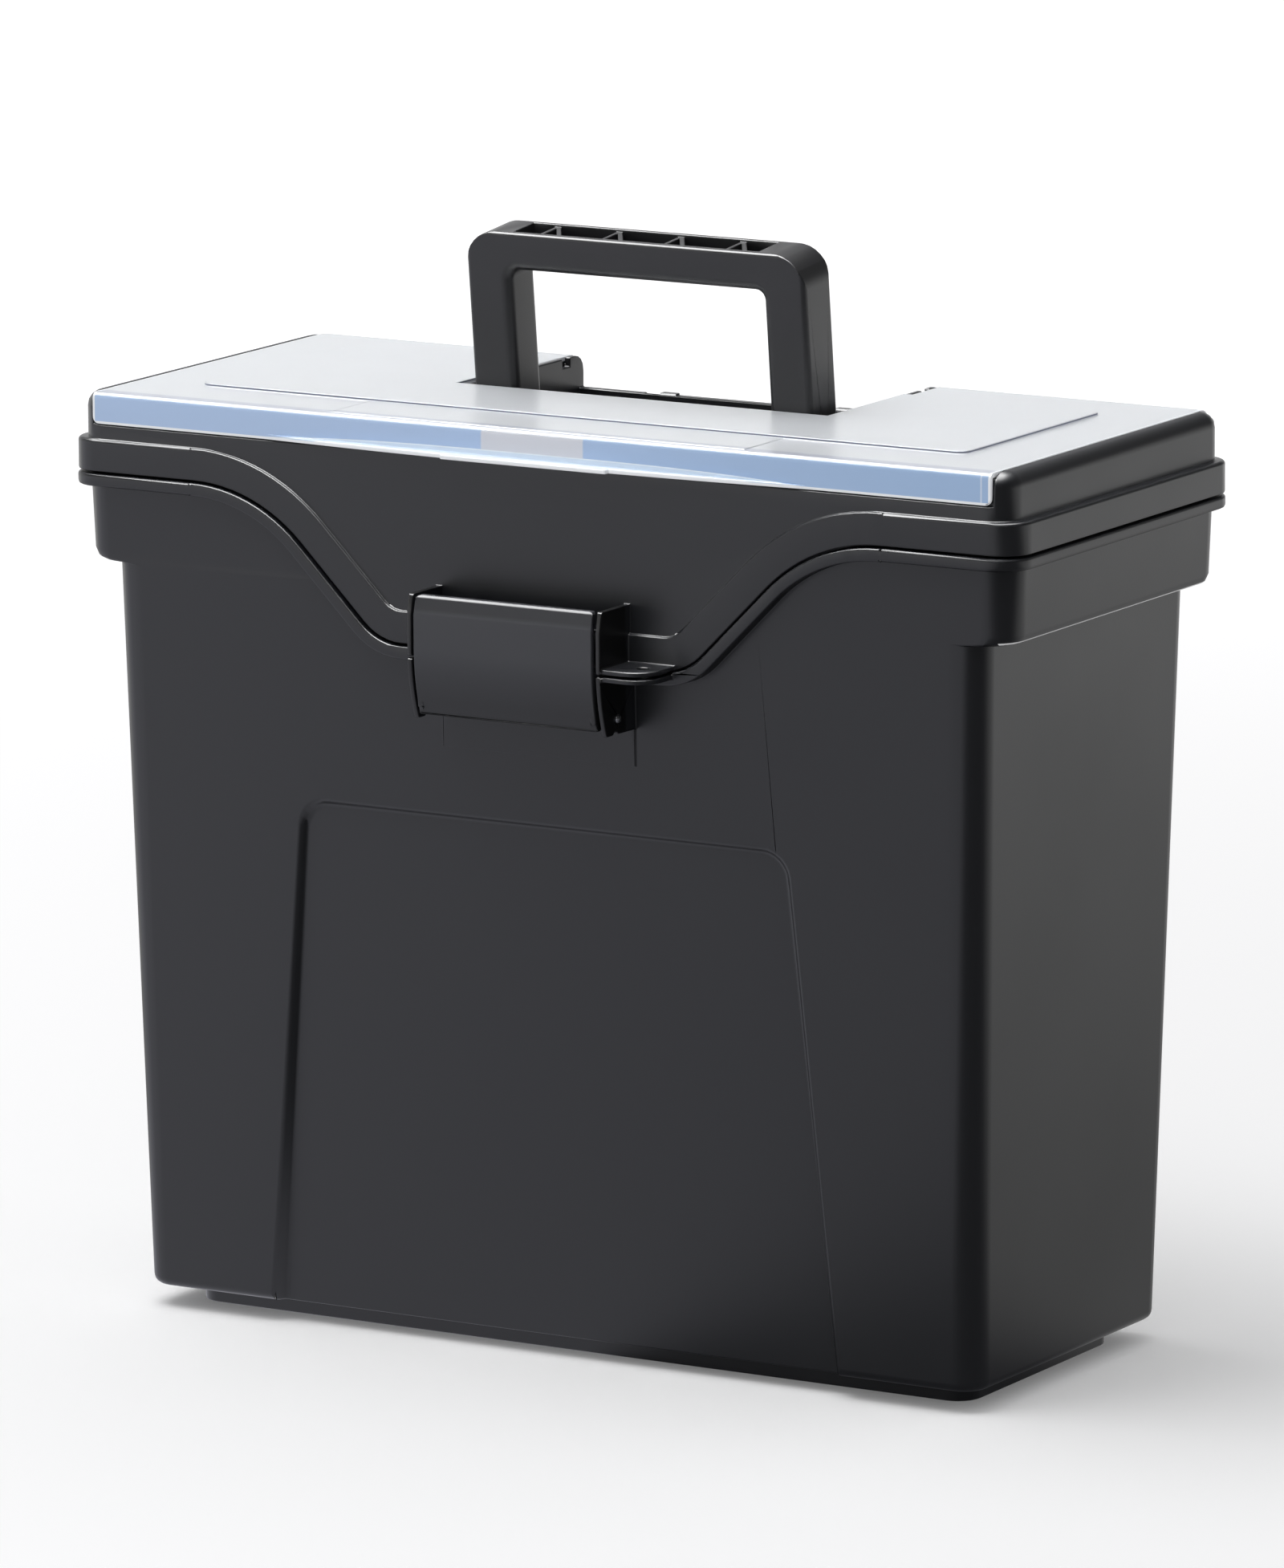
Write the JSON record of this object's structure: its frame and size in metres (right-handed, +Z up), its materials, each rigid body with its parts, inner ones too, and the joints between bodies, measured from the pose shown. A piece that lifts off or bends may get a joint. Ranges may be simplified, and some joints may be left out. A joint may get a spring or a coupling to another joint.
{
  "type": "portable file box",
  "caption": "Portable file box: drafted tub for hanging folders, hinged organizer lid with a see-through cover, folding handle and front latch.",
  "frame": {"origin": "middle of the foot ring's resting plane, on the box's middle planes", "axes": "+Z up, +Y from the latch at the front towards the hinge at the back, +X to the right as seen from the front"},
  "size_m": [0.34, 0.169, 0.3472],
  "materials": {
    "body": "fine-grained black polypropylene, satin",
    "cover": "natural polypropylene, milky and translucent",
    "handle": "black polypropylene, satin",
    "latch": "black polypropylene, satin",
    "pins": "bright drawn wire"
  },
  "bodies": {
    "box": {"tub": "body", "latch_pin": "pins", "hinge_pin_left": "pins", "hinge_pin_right": "pins"},
    "lid": {"lid": "body", "handle_pin_left": "pins", "handle_pin_right": "pins", "cover_pin_left_outer": "pins", "cover_pin_left_inner": "pins", "cover_pin_right_inner": "pins", "cover_pin_right_outer": "pins"},
    "cover": {"organizer_cover": "cover"},
    "handle": {"handle": "handle"},
    "latch": {"latch": "latch"}
  },
  "joints": [
    {"name": "lid_hinge", "type": "hinge", "parent": "box", "child": "lid", "pos_m": [0, 0.0766, 0.2695], "axis": [-1, 0, 0], "range_deg": [0, 105]},
    {"name": "latch_pivot", "type": "hinge", "parent": "box", "child": "latch", "pos_m": [0, -0.078, 0.2098], "axis": [1, 0, 0], "range_deg": [0, 100]},
    {"name": "cover_hinge", "type": "hinge", "parent": "lid", "child": "cover", "pos_m": [0, 0.0662, 0.2912], "axis": [-1, 0, 0], "range_deg": [0, 105]},
    {"name": "handle_fold", "type": "hinge", "parent": "lid", "child": "handle", "pos_m": [0, 0.0056, 0.2863], "axis": [-1, 0, 0], "range_deg": [0, 96]}
  ],
  "couplings": [
    {"joint": "handle_fold", "follows": "cover_hinge", "ratio": 0.91429}
  ]
}
